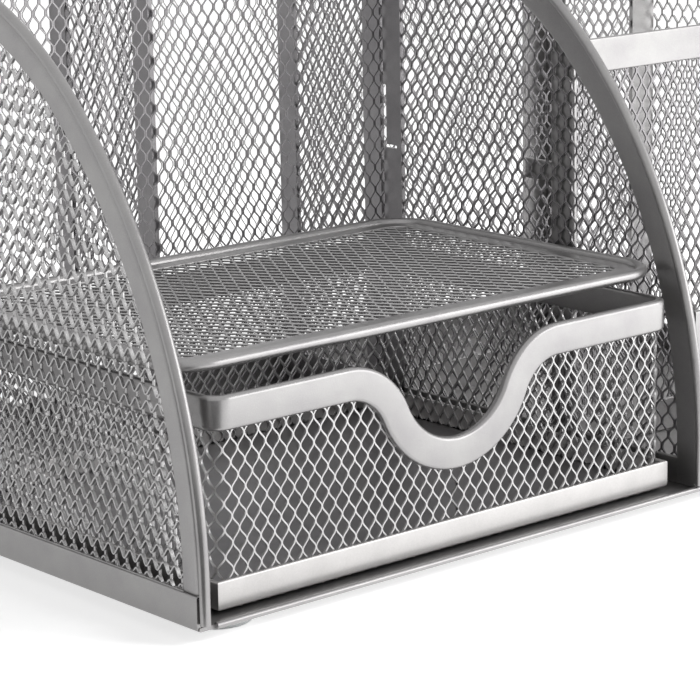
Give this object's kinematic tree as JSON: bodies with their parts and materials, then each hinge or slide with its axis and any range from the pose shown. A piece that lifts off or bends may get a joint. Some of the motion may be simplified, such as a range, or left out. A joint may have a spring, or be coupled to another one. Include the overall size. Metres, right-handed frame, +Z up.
{
  "type": "mesh desk organizer with drawer",
  "caption": "Desk organizer in silver steel mesh: a shelf over a sliding drawer with a half-moon finger notch, upright pen compartments behind and beside it, curved side panels.",
  "frame": {"origin": "on the table under the middle of the organizer: centre of the bounding box's bottom", "axes": "+X to the right seen from the front, +Y to the back, +Z up; the drawer opens towards -Y"},
  "size_m": [0.228, 0.142, 0.1215],
  "materials": {
    "frame": "satin",
    "mesh": "satin",
    "foot": "matte"
  },
  "bodies": {
    "carcass": {"base_tray": "frame", "left_panel_frame": "frame", "left_panel_mesh": "mesh", "right_panel_frame": "frame", "right_panel_mesh": "mesh", "middle_front_frame": "frame", "middle_front_mesh": "mesh", "middle_rear_frame": "frame", "middle_rear_mesh": "mesh", "inner_wall_frame": "frame", "inner_wall_mesh": "mesh", "back_wall_frame": "frame", "back_wall_mesh": "mesh", "divider_frame": "frame", "divider_mesh": "mesh", "cross_wall_frame": "frame", "cross_wall_mesh": "mesh", "low_front_wall_frame": "frame", "low_front_wall_mesh": "mesh", "shelf_rim": "frame", "shelf_mesh": "mesh", "left_runner": "frame", "right_runner": "frame", "front_left_foot": "foot", "front_right_foot": "foot", "rear_left_foot": "foot", "rear_right_foot": "foot"},
    "drawer": {"drawer_pan": "frame", "drawer_mesh": "mesh", "drawer_rim": "frame"}
  },
  "joints": [
    {"name": "drawer_slide", "type": "slide", "parent": "carcass", "child": "drawer", "axis": [0, -1, 0], "range_m": [0, 0.08]}
  ]
}
